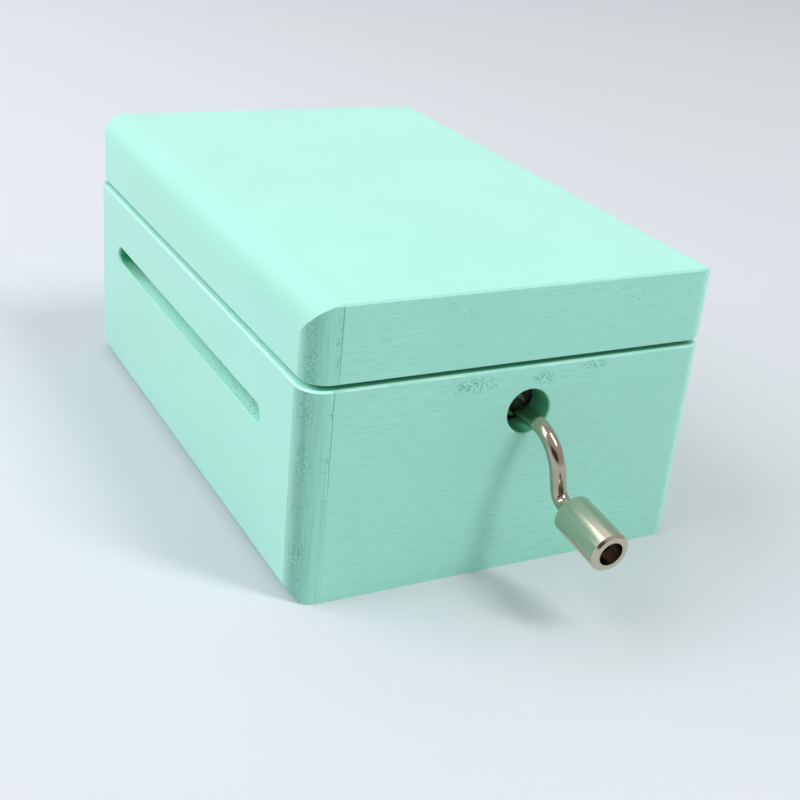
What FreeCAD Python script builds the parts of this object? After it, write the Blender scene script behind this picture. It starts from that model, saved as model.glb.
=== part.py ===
import FreeCAD, Part
import math
import os

# Hand cranked music box that plays a punched paper strip, in a painted wooden case.
# Millimetres. Origin at the centre of the underside, +X towards the hinges,
# +Y towards the back (the crank comes out of the front, at -Y), +Z up.

V = FreeCAD.Vector
os.makedirs("parts", exist_ok=True)

# Wooden case
case_width = 69.2
body_height = 35.0
lid_height = 12.0
board = 5.0
corner_lap = 4.1
floor_thickness = 4.0
lid_panel_thickness = 5.0
left_corner_radius = 4.0
right_corner_radius = 3.2
bottom_left_ease = 2.0
bottom_right_ease = 2.8
rim_right_ease = 0.8
lid_rim_right_ease = 1.3
lid_left_inset = 0.4
lid_left_round = 5.0
lid_right_round = 2.2
lid_edge_ease = 0.3
rim_ease = 0.3
lid_rim_ease = 0.2
slot_edge_ease = 0.25
hole_edge_ease = 0.2

# Paper strip and the slots it runs through
strip_width = 70.0
strip_side_clearance = 2.0
slot_end_margin = 15.0
slot_height = 3.0
strip_below_rim = 10.75
strip_centre_y = 1.0
strip_gap = 0.9

# Hinges, their screws and the closure magnets
leaf_thickness = 0.4
leaf_width = 4.4
hinge_length = 20.0
hinge_end_margin = 26.0
barrel_radius = 1.2
hinge_pin_radius = 0.6
barrel_wall_clearance = 0.1
knuckle_gap = 0.1
hinge_screw_radius = 0.7
hinge_screw_head_radius = 1.3
hinge_screw_length = 4.0
hinge_screw_pitch = 12.0
magnet_radius = 1.5
magnet_length = 1.6
magnet_end_margin = 22.0

# Frame of the movement
base_thickness = 1.5
frame_thickness = 2.0
frame_margin = 2.5
frame_wall_gap = 2.1
frame_round = 2.0
window_margin = 8.0
window_below_guide = 6.5
tower_margin = 3.2
foot_length = 9.0
foot_depth = 6.0
foot_height = 4.0
mounting_screw_radius = 1.45
mounting_screw_head_radius = 2.8
mounting_screw_head_depth = 1.4
mounting_screw_end_gap = 0.5
screw_recess = 0.3
screw_slot_width = 0.7
screw_slot_depth = 0.6
frame_screw_radius = 1.0
frame_screw_head_radius = 1.9
frame_screw_head_depth = 1.0
frame_screw_length = 7.6
bridge_width = 9.0
bridge_underside_above_strip = 2.1

# Comb
note_count = 20
strip_edge_margin = 6.5
tine_gap_share = 0.2
tine_thickness = 0.6
comb_root_thickness = 1.2
bass_tine_length = 14.6
treble_tine_length = 7.0
comb_tip_overlap = 0.3
comb_clearance = 0.15
comb_screw_radius = 1.25
comb_screw_head_radius = 2.3
comb_screw_head_height = 1.5
comb_screw_count = 3
comb_screw_reach = 3.0
weighted_tines = 6
weight_height = 1.1
weight_length = 3.6
weight_length_step = 0.3
weight_side_clearance = 0.2

# Star wheels
star_x = -3.5
star_tip_radius = 3.75
star_root_radius = 2.3
star_thickness_share = 0.3
star_teeth = 8
star_reach_below_strip = 1.1
star_axle_radius = 0.8
star_running_clearance = 0.05
spacer_bar_thickness = 1.6
spacer_bar_back = 1.6
spacer_side_clearance = 0.15
spacer_axle_gap = 0.4
spacer_tab_width = 2.2

# Strip guides
lower_plate_thickness = 0.8
upper_plate_thickness = 0.6
plate_wall_clearance = 1.1
tab_width = 5.0
tab_clearance = 0.05
lower_tab_first_offset = 10.0
lower_tab_second_offset = 18.5
lower_tab_roller_offset = 5.1
upper_tab_first_offset = 5.5
upper_tab_second_offset = 14.5
upper_tab_star_offset = 1.5
guide_slot_side_clearance = 0.2
guide_slot_end_clearance = 0.3

# Rollers, gears and crank
crank_x = 3.0
crank_above_strip = 2.15
gear_module = 0.6
pinion_teeth = 12
wheel_teeth = 22
pressure_angle = math.radians(25.0)
wheel_hole_radius = 1.1
wheel_hole_circle = 4.0
gear_backlash = 0.06
gear_width = 3.0
bracket_thickness = 1.2
bracket_left = 11.2
bracket_right = 6.2
bracket_below = 9.2
bracket_above = 5.0
bracket_corner_cut = 4.0
bracket_round = 2.5
leg_radius = 2.0
leg_offsets = [(-8.6, 2.0), (-5.0, -5.8), (3.6, -6.6)]
neck_radius = 1.2
ring_radius = 3.5
ring_width = 6.0
ring_count = 4
roller_core_radius = 2.5
roller_sides = 16
drive_journal_radius = 1.5
pressure_roller_radius = 2.4
pressure_journal_radius = 1.0
roller_gap = 0.3
running_clearance = 0.04
bush_radius = 2.5
bush_flange_radius = 3.2
bush_flange_thickness = 0.6
bush_sides = 12
shaft_front_radius = 1.9
shaft_back_radius = 1.3
shaft_front_reach = 0.4
front_bush_radius = 2.9
front_bush_flange_radius = 3.6
gear_end_play = 0.25
wire_radius = 1.25
wire_thread_radius = 1.0
wire_thread_length = 4.0
crank_hole_radius = 3.7
crank_hole_offset_x = -0.4
crank_hole_offset_z = 0.95
crank_straight = 1.9
crank_arm_angle = math.radians(85.5)
crank_arm_length = 3.1
crank_bend_radius = 5.9
handle_bend_radius = 2.2
handle_droop = math.radians(6.7)
crank_swing = math.radians(8.9)
knob_start = 1.7
knob_radius = 3.2
knob_length = 10.4
knob_edge = 0.4
knob_bore_clearance = 0.06
knob_counterbore_radius = 1.95
knob_counterbore_depth = 3.4
peened_head_radius = 1.7
peened_head_height = 0.7
collar_recess = 0.3

# Places that follow from the sizes above
slot_length = strip_width + 2 * strip_side_clearance
case_depth = slot_length + 2 * slot_end_margin
half_width = case_width / 2
half_depth = case_depth / 2
inner_x = half_width - board
inner_y = half_depth - board
lap_x = -half_width + corner_lap
seam_gap = 2 * leaf_thickness
lid_bottom = body_height + seam_gap
lid_top = lid_bottom + lid_height
panel_bottom = lid_top - lid_panel_thickness
seam_middle = body_height + leaf_thickness
strip_level = body_height - strip_below_rim
hinge_spread = case_depth - 2 * hinge_end_margin
magnet_spread = case_depth - 2 * magnet_end_margin

frame_half_span = slot_length / 2 + frame_margin
front_inner = strip_centre_y - frame_half_span
front_outer = front_inner - frame_thickness
back_inner = strip_centre_y + frame_half_span
back_outer = back_inner + frame_thickness
gear_back = front_outer - bush_flange_thickness - gear_end_play
gear_front = gear_back - gear_width
bracket_back = gear_front - gear_end_play - bush_flange_thickness
bracket_front = bracket_back - bracket_thickness
frame_left = inner_x - frame_wall_gap
base_bottom = floor_thickness
base_top = base_bottom + base_thickness

lower_plate_top = strip_level - strip_gap / 2
lower_plate_bottom = lower_plate_top - lower_plate_thickness
upper_plate_bottom = strip_level + strip_gap / 2
upper_plate_top = upper_plate_bottom + upper_plate_thickness
plate_reach = inner_x - plate_wall_clearance

note_pitch = (strip_width - 2 * strip_edge_margin) / (note_count - 1)
tine_gap = note_pitch * tine_gap_share
star_thickness = note_pitch * star_thickness_share
star_z = strip_level - star_reach_below_strip + star_tip_radius
comb_underside = star_z + star_tip_radius + comb_clearance
comb_tip_x = star_x + comb_tip_overlap
bridge_bottom = strip_level + bridge_underside_above_strip
bridge_left = -frame_left + 0.5
bridge_right = bridge_left + bridge_width
bridge_middle = (bridge_left + bridge_right) / 2
star_width = note_pitch * (note_count - 1)
first_note_y = strip_centre_y - star_width / 2

crank_z = strip_level + crank_above_strip
drive_z = strip_level + roller_gap / 2 + ring_radius
pressure_z = strip_level - roller_gap / 2 - pressure_roller_radius
pinion_pitch_radius = gear_module * pinion_teeth / 2
wheel_pitch_radius = gear_module * wheel_teeth / 2
gear_centres = pinion_pitch_radius + wheel_pitch_radius
drive_x = crank_x + math.sqrt(gear_centres ** 2 - (drive_z - crank_z) ** 2)
mesh_angle = math.atan2(drive_z - crank_z, drive_x - crank_x)
frame_top = drive_z + bush_flange_radius + frame_round
frame_right = drive_x + bush_flange_radius + frame_round
window_bottom = base_top + foot_height
window_top = lower_plate_bottom - window_below_guide
window_height = window_top - window_bottom
lower_tab_xs = [lower_tab_first_offset - frame_left, lower_tab_second_offset - frame_left,
                drive_x - lower_tab_roller_offset]
upper_tab_xs = [upper_tab_first_offset - frame_left, upper_tab_second_offset - frame_left,
                star_x - upper_tab_star_offset]


def export(name, *solids):
    shape = solids[0] if len(solids) == 1 else Part.makeCompound(list(solids))
    shape.exportStep(os.path.join("parts", name + ".step"))
    print(name, "solids", len(shape.Solids), "volume", round(shape.Volume, 2))


def facet_points(centre, direction, radius, sides):
    side = V(1, 0, 0)
    other = direction.cross(side)
    points = []
    for k in range(sides):
        turn = 2 * math.pi * (k + 0.5) / sides
        points.append(centre + side * (radius * math.cos(turn)) + other * (radius * math.sin(turn)))
    return points + [points[0]]


def facet_rod(centre, direction, radius, length, sides=12):
    """Rod with flat sides, for small fasteners and the holes they fill."""
    outline = Part.makePolygon(facet_points(centre, direction, radius, sides))
    return Part.Face(outline).extrude(direction * length)


def facet_bore(centre, direction, radius, length, sides=12):
    """Flat-sided hole whose sides touch a round shaft of the given radius."""
    return facet_rod(centre, direction, radius / math.cos(math.pi / sides), length, sides)


def countersunk_screw(head_face, direction, head_radius, radius, head_depth, length, sides=12):
    """Cone head over a straight shank, built from flat faces."""
    rings = [facet_points(head_face, direction, head_radius, sides),
             facet_points(head_face + direction * head_depth, direction, radius, sides),
             facet_points(head_face + direction * length, direction, radius, sides)]
    faces = [Part.Face(Part.makePolygon(rings[0])), Part.Face(Part.makePolygon(rings[2]))]
    for near, far in ((rings[0], rings[1]), (rings[1], rings[2])):
        for k in range(sides):
            corners = [near[k], near[k + 1], far[k + 1], far[k], near[k]]
            faces.append(Part.Face(Part.makePolygon(corners)))
    shell = Part.makeShell(faces)
    shell.sewShape()
    screw = Part.makeSolid(shell)
    if screw.Volume < 0:
        screw.reverse()
    return screw


def block(x0, x1, y0, y1, z0, z1):
    return Part.makeBox(x1 - x0, y1 - y0, z1 - z0, V(x0, y0, z0))


def rod_y(x, z, y0, y1, radius):
    return Part.makeCylinder(radius, y1 - y0, V(x, y0, z), V(0, 1, 0))


def rod_z(x, y, z0, z1, radius):
    return Part.makeCylinder(radius, z1 - z0, V(x, y, z0), V(0, 0, 1))


def prism(points, direction):
    outline = Part.makePolygon(points + [points[0]])
    return Part.Face(outline).extrude(direction)


def rounded_prism(corners, direction, steps=0):
    """Extrude a convex outline; each corner is (point, radius).

    With steps, each rounded corner is that many straight cuts, for pieces inside the case.
    """
    edges = []
    ends = []
    count = len(corners)
    for i, (point, radius) in enumerate(corners):
        before = corners[i - 1][0] - point
        after = corners[(i + 1) % count][0] - point
        before.normalize()
        after.normalize()
        half_turn = before.getAngle(after) / 2
        setback = radius / math.tan(half_turn)
        middle = before + after
        middle.normalize()
        start = point + before * setback
        stop = point + after * setback
        top = point + middle * (radius / math.sin(half_turn) - radius)
        ends.append((start, top, stop, radius))
    for i, (start, top, stop, radius) in enumerate(ends):
        previous_stop = ends[i - 1][2]
        if (start - previous_stop).Length > 1e-6:
            edges.append(Part.LineSegment(previous_stop, start).toShape())
        if radius > 0 and steps:
            points = Part.Arc(start, top, stop).toShape().discretize(steps + 1)
            edges.extend([Part.LineSegment(a, b).toShape() for a, b in zip(points, points[1:])])
        elif radius > 0:
            edges.append(Part.Arc(start, top, stop).toShape())
    return Part.Face(Part.Wire(edges)).extrude(direction)


def plan_prism(x0, x1, y0, y1, z0, z1, radius, steps=0):
    corners = [(V(x0, y0, z0), radius), (V(x1, y0, z0), radius),
               (V(x1, y1, z0), radius), (V(x0, y1, z0), radius)]
    return rounded_prism(corners, V(0, 0, z1 - z0), steps)


def revolve_on(axis_point, axis_direction, profile):
    """Revolve a closed (along, radius) outline about an axis."""
    direction = V(axis_direction)
    direction.normalize()
    side = direction.cross(V(0, 0, 1))
    if side.Length < 0.1:
        side = direction.cross(V(1, 0, 0))
    side.normalize()
    points = [axis_point + direction * a + side * r for a, r in profile]
    face = Part.Face(Part.makePolygon(points + [points[0]]))
    return face.revolve(axis_point, direction, 360)


def case_plan(left, right, z0, z1):
    """Plan of the case; the corners at the hinges are a little sharper."""
    corners = [(V(left, -half_depth, z0), left_corner_radius),
               (V(right, -half_depth, z0), right_corner_radius),
               (V(right, half_depth, z0), right_corner_radius),
               (V(left, half_depth, z0), left_corner_radius)]
    return rounded_prism(corners, V(0, 0, z1 - z0))


def left_wall(x0, x1, z0, z1):
    """Space of a left wall whose front end laps over the end of the front wall."""
    wall = block(x0, x1, -inner_y, inner_y, z0, z1)
    return wall.fuse(block(x0, lap_x, -half_depth, -inner_y, z0, z1)).removeSplitter()


def body_outline():
    plan = case_plan(-half_width, half_width, 0, body_height)
    left = bottom_left_ease
    right = bottom_right_ease
    rim = rim_right_ease
    profile = [V(-half_width, -half_depth, left), V(-half_width + left, -half_depth, 0),
               V(half_width - right, -half_depth, 0), V(half_width, -half_depth, right),
               V(half_width, -half_depth, body_height - rim),
               V(half_width - rim, -half_depth, body_height), V(-half_width, -half_depth, body_height)]
    shape = plan.common(prism(profile, V(0, case_depth, 0)))
    return ease_level_edges(shape, body_height, rim_ease)


def ease_level_edges(shape, level, size):
    """Break every edge that lies at one height."""
    edges = [e for e in shape.Edges if all(abs(v.Z - level) < 1e-6 for v in e.Vertexes)]
    return shape.makeChamfer(size, edges)


def eased_outline(corners, ease, direction):
    """Extrude a convex outline; marked corners are cut off at 45 degrees."""
    points = []
    count = len(corners)
    for i, (point, cut) in enumerate(corners):
        if not cut:
            points.append(point)
            continue
        for other in (corners[i - 1][0], corners[(i + 1) % count][0]):
            toward = other - point
            toward.normalize()
            points.append(point + toward * ease)
    return prism(points, direction)


def lid_outline():
    left = -half_width + lid_left_inset
    plan = case_plan(left, half_width, lid_bottom, lid_top)
    rim = lid_rim_right_ease
    front = [(V(left, -half_depth, lid_bottom), 0), (V(half_width - rim, -half_depth, lid_bottom), 0),
             (V(half_width, -half_depth, lid_bottom + rim), 0),
             (V(half_width, -half_depth, lid_top), lid_right_round),
             (V(left, -half_depth, lid_top), lid_left_round)]
    side = [(V(left, -half_depth, lid_bottom), False), (V(left, half_depth, lid_bottom), False),
            (V(left, half_depth, lid_top), True), (V(left, -half_depth, lid_top), True)]
    shape = plan.common(rounded_prism(front, V(0, case_depth, 0)))
    shape = shape.common(eased_outline(side, lid_edge_ease, V(case_width, 0, 0)))
    return ease_level_edges(shape, lid_bottom, lid_rim_ease)


def strip_slot(x0, x1):
    """Slot with round ends for the strip, cut along X."""
    y0 = strip_centre_y - slot_length / 2
    y1 = strip_centre_y + slot_length / 2
    z0 = strip_level - slot_height / 2
    radius = slot_height / 2
    middle = block(x0, x1, y0 + radius, y1 - radius, z0, z0 + slot_height)
    near = Part.makeCylinder(radius, x1 - x0, V(x0, y0 + radius, strip_level), V(1, 0, 0))
    far = Part.makeCylinder(radius, x1 - x0, V(x0, y1 - radius, strip_level), V(1, 0, 0))
    return middle.fuse([near, far]).removeSplitter()


def ease_slot(shape, face_x):
    """Break the slot's edges on one face of its board."""
    high = strip_level + slot_height
    low = strip_level - slot_height
    edges = [e for e in shape.Edges
             if all(abs(v.X - face_x) < 1e-6 and low < v.Z < high for v in e.Vertexes)]
    return shape.makeChamfer(slot_edge_ease, edges)


hinge_axis_x = half_width + barrel_radius + barrel_wall_clearance
leaf_inner_x = half_width - leaf_width
hinge_screw_x = leaf_inner_x + leaf_width / 2
hinge_centres = [-hinge_spread / 2, hinge_spread / 2]
hinge_screw_ys = [c + s * hinge_screw_pitch / 2 for c in hinge_centres for s in (-1, 1)]
magnet_x = -half_width + lid_left_inset + board / 2
magnet_ys = [-magnet_spread / 2, magnet_spread / 2]
mounting_xs = [-frame_left + foot_length / 2, frame_right - foot_length / 2]
mounting_ys = [front_inner + foot_depth / 2, back_inner - foot_depth / 2]
mounting_points = [(x, y) for x in mounting_xs for y in mounting_ys]


def make_case_body():
    outline = body_outline()
    top = body_height
    front = outline.common(block(lap_x, half_width, -half_depth, -inner_y, 0, top))
    hole = rod_y(crank_x + crank_hole_offset_x, crank_z + crank_hole_offset_z,
                 -half_depth - 1, -inner_y + 1, crank_hole_radius)
    front = front.cut(hole)
    outer_edges = [e for e in front.Edges if abs(e.CenterOfMass.y + half_depth) < 1e-6]
    rim = [e for e in outer_edges if hasattr(e.Curve, "Radius")
           and abs(e.Curve.Radius - crank_hole_radius) < 1e-6]
    front = front.makeChamfer(hole_edge_ease, rim)
    back = outline.common(block(-half_width, half_width, inner_y, half_depth, 0, top))
    left = outline.common(left_wall(-half_width, -inner_x, 0, top))
    right = outline.common(block(inner_x, half_width, -inner_y, inner_y, 0, top))
    left = ease_slot(left.cut(strip_slot(-half_width - 1, -inner_x + 1)), -half_width)
    right = ease_slot(right.cut(strip_slot(inner_x - 1, half_width + 1)), half_width)
    left = left.cut([magnet(y, -1) for y in magnet_ys])
    right = right.cut([hinge_screw(y, -1) for y in hinge_screw_ys])
    floor = block(-inner_x, inner_x, -inner_y, inner_y, 0, floor_thickness)
    floor = floor.cut([mounting_screw_space(x, y) for x, y in mounting_points])
    export("front_board", front)
    export("back_board", back)
    export("left_board", left)
    export("right_board", right)
    export("floor_panel", floor)


def make_lid():
    outline = lid_outline()
    left = -half_width + lid_left_inset
    rail_inner_left = left + board
    bottom = lid_bottom
    top = lid_top
    panel = outline.common(block(rail_inner_left, half_width, -inner_y, inner_y, panel_bottom, top))
    front = outline.common(block(lap_x, half_width, -half_depth, -inner_y, bottom, top))
    back = outline.common(block(left, half_width, inner_y, half_depth, bottom, top))
    left_rail = outline.common(left_wall(left, rail_inner_left, bottom, top))
    right_rail = outline.common(block(inner_x, half_width, -inner_y, inner_y, bottom, panel_bottom))
    left_rail = left_rail.cut([magnet(y, 1) for y in magnet_ys])
    right_rail = right_rail.cut([hinge_screw(y, 1) for y in hinge_screw_ys])
    export("lid_top_panel", panel)
    export("lid_front_rail", front)
    export("lid_back_rail", back)
    export("lid_left_rail", left_rail)
    export("lid_right_rail", right_rail)


def knuckle_spans(centre):
    """Three knuckles along one hinge: the middle one is on the lid leaf."""
    step = hinge_length / 3
    start = centre - hinge_length / 2
    return [(start + i * step + knuckle_gap / 2, start + (i + 1) * step - knuckle_gap / 2)
            for i in range(3)]


def hinge_leaf(centre, z0, z1, own_knuckles, toward):
    leaf = block(leaf_inner_x, half_width, centre - hinge_length / 2, centre + hinge_length / 2, z0, z1)
    pieces = []
    for i, (y0, y1) in enumerate(knuckle_spans(centre)):
        if i % 2 == own_knuckles:
            pieces.append(block(half_width, hinge_axis_x, y0, y1, z0, z1))
            barrel_end = V(hinge_axis_x, y0, seam_middle)
            pieces.append(facet_rod(barrel_end, V(0, 1, 0), barrel_radius, y1 - y0))
    leaf = leaf.fuse(pieces)
    bore_radius = hinge_pin_radius + (running_clearance if own_knuckles else 0)
    bore_start = V(hinge_axis_x, centre - hinge_length, seam_middle)
    leaf = leaf.cut(facet_bore(bore_start, V(0, 1, 0), bore_radius, 2 * hinge_length, 8))
    leaf = leaf.cut([hinge_screw(centre + s * hinge_screw_pitch / 2, toward) for s in (-1, 1)])
    return leaf.removeSplitter()


def hinge_screw(y, toward):
    """Countersunk screw with its head flush at the middle of the seam."""
    return countersunk_screw(V(hinge_screw_x, y, seam_middle), V(0, 0, toward), hinge_screw_head_radius,
                             hinge_screw_radius, leaf_thickness, hinge_screw_length)


def make_hinges():
    body_leaves = [hinge_leaf(c, body_height, seam_middle, 0, -1) for c in hinge_centres]
    lid_leaves = [hinge_leaf(c, seam_middle, lid_bottom, 1, 1) for c in hinge_centres]
    pins = [rod_y(hinge_axis_x, seam_middle, c - hinge_length / 2, c + hinge_length / 2, hinge_pin_radius)
            for c in hinge_centres]
    export("body_hinge_leaves", *body_leaves)
    export("lid_hinge_leaves", *lid_leaves)
    export("hinge_pins", *pins)
    export("body_hinge_screws", *[hinge_screw(y, -1) for y in hinge_screw_ys])
    export("lid_hinge_screws", *[hinge_screw(y, 1) for y in hinge_screw_ys])


def magnet(y, toward):
    return facet_rod(V(magnet_x, y, seam_middle), V(0, 0, toward), magnet_radius, magnet_length, 16)


def make_magnets():
    export("body_magnets", *[magnet(y, -1) for y in magnet_ys])
    export("lid_magnets", *[magnet(y, 1) for y in magnet_ys])


def mounting_screw(x, y, end):
    return countersunk_screw(V(x, y, screw_recess), V(0, 0, 1), mounting_screw_head_radius,
                             mounting_screw_radius, mounting_screw_head_depth, end - screw_recess)


def mounting_screw_space(x, y):
    mouth = facet_rod(V(x, y, 0), V(0, 0, 1), mounting_screw_head_radius, screw_recess)
    return mounting_screw(x, y, base_top + foot_height).fuse(mouth)


def bridge_screw_places():
    z = (bridge_bottom + comb_underside) / 2
    return [(bridge_middle, z)]


def leg_places():
    return [(crank_x + across, crank_z + up) for across, up in leg_offsets]


def side_screw(x, z, face_y, inward):
    """Countersunk screw along Y; its head is flush with the face."""
    return countersunk_screw(V(x, face_y, z), V(0, inward, 0), frame_screw_head_radius,
                             frame_screw_radius, frame_screw_head_depth, frame_screw_length)


def bridge_screws():
    screws = []
    for x, z in bridge_screw_places():
        screws.append(side_screw(x, z, front_outer, 1))
        screws.append(side_screw(x, z, back_outer, -1))
    return screws


def bracket_screws():
    return [side_screw(x, z, bracket_front, 1) for x, z in leg_places()]


def make_base():
    base = plan_prism(-frame_left, frame_right, front_outer, back_outer, base_bottom, base_top,
                      frame_round, 4)
    base = base.cut([mounting_screw_space(x, y) for x, y in mounting_points])
    half_slot = screw_slot_width / 2
    reach = mounting_screw_head_radius + 1
    screws = []
    for x, y in mounting_points:
        screw = mounting_screw(x, y, base_top + foot_height - mounting_screw_end_gap)
        slot = block(x - half_slot, x + half_slot, y - reach, y + reach, 0, screw_recess + screw_slot_depth)
        screws.append(screw.cut(slot))
    export("movement_base", base)
    export("mounting_screws", *screws)


def frame_plate(y0):
    thick = V(0, frame_thickness, 0)
    plate = rounded_prism([(V(-frame_left, y0, base_top), 0), (V(frame_right, y0, base_top), 0),
                           (V(frame_right, y0, comb_underside), 0),
                           (V(-frame_left, y0, comb_underside), frame_round)], thick, 4)
    tower_left = crank_x - tower_margin
    tower = rounded_prism([(V(tower_left, y0, base_top + foot_height), 0),
                           (V(frame_right, y0, base_top + foot_height), 0),
                           (V(frame_right, y0, frame_top), frame_round * 2),
                           (V(tower_left, y0, frame_top), frame_round)], thick, 4)
    left = -frame_left + window_margin
    right = frame_right - window_margin
    wide = window_height * 0.7
    tight = window_height * 0.25
    window = rounded_prism([(V(left, y0, window_bottom), tight), (V(right, y0, window_bottom), tight),
                            (V(right, y0, window_top), wide), (V(left, y0, window_top), wide)], thick, 5)
    return plate.fuse(tower).cut(window)


def frame_holes(y0):
    along = V(0, 1, 0)
    holes = [mounting_screw_space(x, y) for x, y in mounting_points]
    holes.append(facet_bore(V(star_x, y0, star_z), along, star_axle_radius, frame_thickness))
    holes.append(facet_rod(V(drive_x, y0, drive_z), along, bush_radius, frame_thickness, bush_sides))
    holes.append(facet_bore(V(drive_x, y0, pressure_z), along, pressure_journal_radius + running_clearance,
                            frame_thickness))
    holes.extend(bridge_screws())
    holes.append(spacer_tab(y0, tab_clearance))
    holes.extend([tab_hole(x, y0, lower_plate_bottom, lower_plate_top) for x in lower_tab_xs])
    holes.extend([tab_hole(x, y0, upper_plate_bottom, upper_plate_top) for x in upper_tab_xs])
    return holes


def tab_hole(x, y0, z0, z1):
    reach = tab_width / 2 + tab_clearance
    return block(x - reach, x + reach, y0, y0 + frame_thickness, z0 - tab_clearance, z1 + tab_clearance)


def make_frames():
    feet_x = [(-frame_left, -frame_left + foot_length), (frame_right - foot_length, frame_right)]
    foot_top = base_top + foot_height
    front = frame_plate(front_outer)
    front = front.fuse([block(a, b, front_inner, front_inner + foot_depth, base_top, foot_top)
                        for a, b in feet_x])
    front = front.cut(frame_holes(front_outer))
    bush_start = V(crank_x, front_outer, crank_z)
    front = front.cut(facet_rod(bush_start, V(0, 1, 0), bush_radius, frame_thickness, bush_sides))
    front = front.cut(bracket_screws())
    back = frame_plate(back_inner)
    back = back.fuse([block(a, b, back_inner - foot_depth, back_inner, base_top, foot_top)
                      for a, b in feet_x])
    back = back.cut(frame_holes(back_inner))
    export("front_frame", front.removeSplitter())
    export("back_frame", back.removeSplitter())


def make_bracket():
    y0 = bracket_front
    left = crank_x - bracket_left
    right = crank_x + bracket_right
    low = crank_z - bracket_below
    high = crank_z + bracket_above
    cut = bracket_corner_cut
    corners = [(left, low + cut), (left + cut, low), (right, low), (right, high - 2 * cut),
               (right - cut / 2, high), (left, high)]
    plate = rounded_prism([(V(x, y0, z), bracket_round) for x, z in corners], V(0, bracket_thickness, 0), 4)
    leg_length = front_outer - bracket_back
    plate = plate.fuse([facet_rod(V(x, bracket_back, z), V(0, 1, 0), leg_radius, leg_length)
                        for x, z in leg_places()])
    plate = plate.cut(bracket_screws())
    bush_start = V(crank_x, bracket_front, crank_z)
    plate = plate.cut(facet_rod(bush_start, V(0, 1, 0), front_bush_radius, bracket_thickness, bush_sides))
    export("crank_bracket", plate.removeSplitter())


def bush(x, z, y0, y1, flange_side, outer, flange, bore):
    along = V(0, 1, 0)
    thick = bush_flange_thickness
    body = facet_rod(V(x, y0, z), along, outer, y1 - y0, bush_sides)
    flange_y = y1 if flange_side > 0 else y0 - thick
    body = body.fuse(facet_rod(V(x, flange_y, z), along, flange, thick, bush_sides))
    hole = facet_bore(V(x, y0 - thick, z), along, bore, y1 - y0 + 2 * thick, bush_sides)
    return body.cut(hole).removeSplitter()


def make_bushes():
    crank_front = bush(crank_x, crank_z, bracket_front, bracket_back, 1, front_bush_radius,
                       front_bush_flange_radius, shaft_front_radius + running_clearance)
    crank_rear = bush(crank_x, crank_z, front_outer, front_inner, -1, bush_radius,
                      bush_flange_radius, shaft_back_radius + running_clearance)
    bore = drive_journal_radius + running_clearance
    roller_front = bush(drive_x, drive_z, front_outer, front_inner, -1, bush_radius,
                        bush_flange_radius, bore)
    roller_back = bush(drive_x, drive_z, back_inner, back_outer, 1, bush_radius,
                       bush_flange_radius, bore)
    export("shaft_bushes", crank_front, crank_rear, roller_front, roller_back)


def gear(x, z, teeth, first_tooth):
    """Involute spur gear blank between the front and back gear planes."""
    pitch = gear_module * teeth / 2
    base = pitch * math.cos(pressure_angle)
    tip = pitch + gear_module
    root = pitch - 1.25 * gear_module
    involute = math.tan(pressure_angle) - pressure_angle
    half_tooth = math.pi / (2 * teeth) - gear_backlash / (2 * pitch)
    radii = [base, (base + 2 * tip) / 3, tip]
    flank = [(root, half_tooth + involute)]
    for r in radii:
        roll = math.acos(min(1.0, base / r))
        flank.append((r, half_tooth + involute - (math.tan(roll) - roll)))
    points = []
    for k in range(teeth):
        middle = first_tooth + 2 * math.pi * k / teeth
        side = [(r, middle - a) for r, a in flank] + [(r, middle + a) for r, a in reversed(flank)]
        points.extend([V(x + r * math.cos(t), gear_front, z + r * math.sin(t)) for r, t in side])
    return prism(points, V(0, gear_width, 0))


def make_crank_shaft():
    front_end = -inner_y - shaft_front_reach
    shaft = gear(crank_x, crank_z, pinion_teeth, mesh_angle)
    shaft = shaft.fuse([rod_y(crank_x, crank_z, front_end, gear_front, shaft_front_radius),
                        rod_y(crank_x, crank_z, gear_back, front_inner, shaft_back_radius)])
    thread = rod_y(crank_x, crank_z, front_end, front_end + wire_thread_length, wire_thread_radius)
    export("crank_pinion_shaft", shaft.cut(thread).removeSplitter())


def make_drive_roller():
    core_front = front_inner + gear_end_play
    core_back = back_inner - gear_end_play
    shaft_front = gear_front - gear_end_play
    shaft_back = back_outer + bush_flange_thickness + 0.5
    along = V(0, 1, 0)
    core_length = core_back - core_front
    core = facet_rod(V(drive_x, core_front, drive_z), along, roller_core_radius, core_length, roller_sides)
    core = core.fuse(rod_y(drive_x, drive_z, shaft_front, shaft_back, drive_journal_radius))
    wheel = gear(drive_x, drive_z, wheel_teeth, mesh_angle + math.pi + math.pi / wheel_teeth)
    wheel = wheel.cut(facet_bore(V(drive_x, gear_front, drive_z), along, drive_journal_radius, gear_width))
    turns = [math.radians(90 * k + 45) for k in range(4)]
    hole_places = [V(drive_x + wheel_hole_circle * math.cos(a), gear_front,
                     drive_z + wheel_hole_circle * math.sin(a)) for a in turns]
    wheel = wheel.cut([facet_rod(place, along, wheel_hole_radius, gear_width) for place in hole_places])
    spacing = (strip_width - 2 * ring_width) / (ring_count - 1)
    middles = [strip_centre_y + (k - (ring_count - 1) / 2) * spacing for k in range(ring_count)]
    rings = []
    for y in middles:
        front = V(drive_x, y - ring_width / 2, drive_z)
        ring = facet_rod(front, along, ring_radius, ring_width, roller_sides)
        rings.append(ring.cut(facet_rod(front, along, roller_core_radius, ring_width, roller_sides)))
    export("drive_roller", core.removeSplitter())
    export("roller_gear", wheel)
    export("rubber_rings", *rings)


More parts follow.
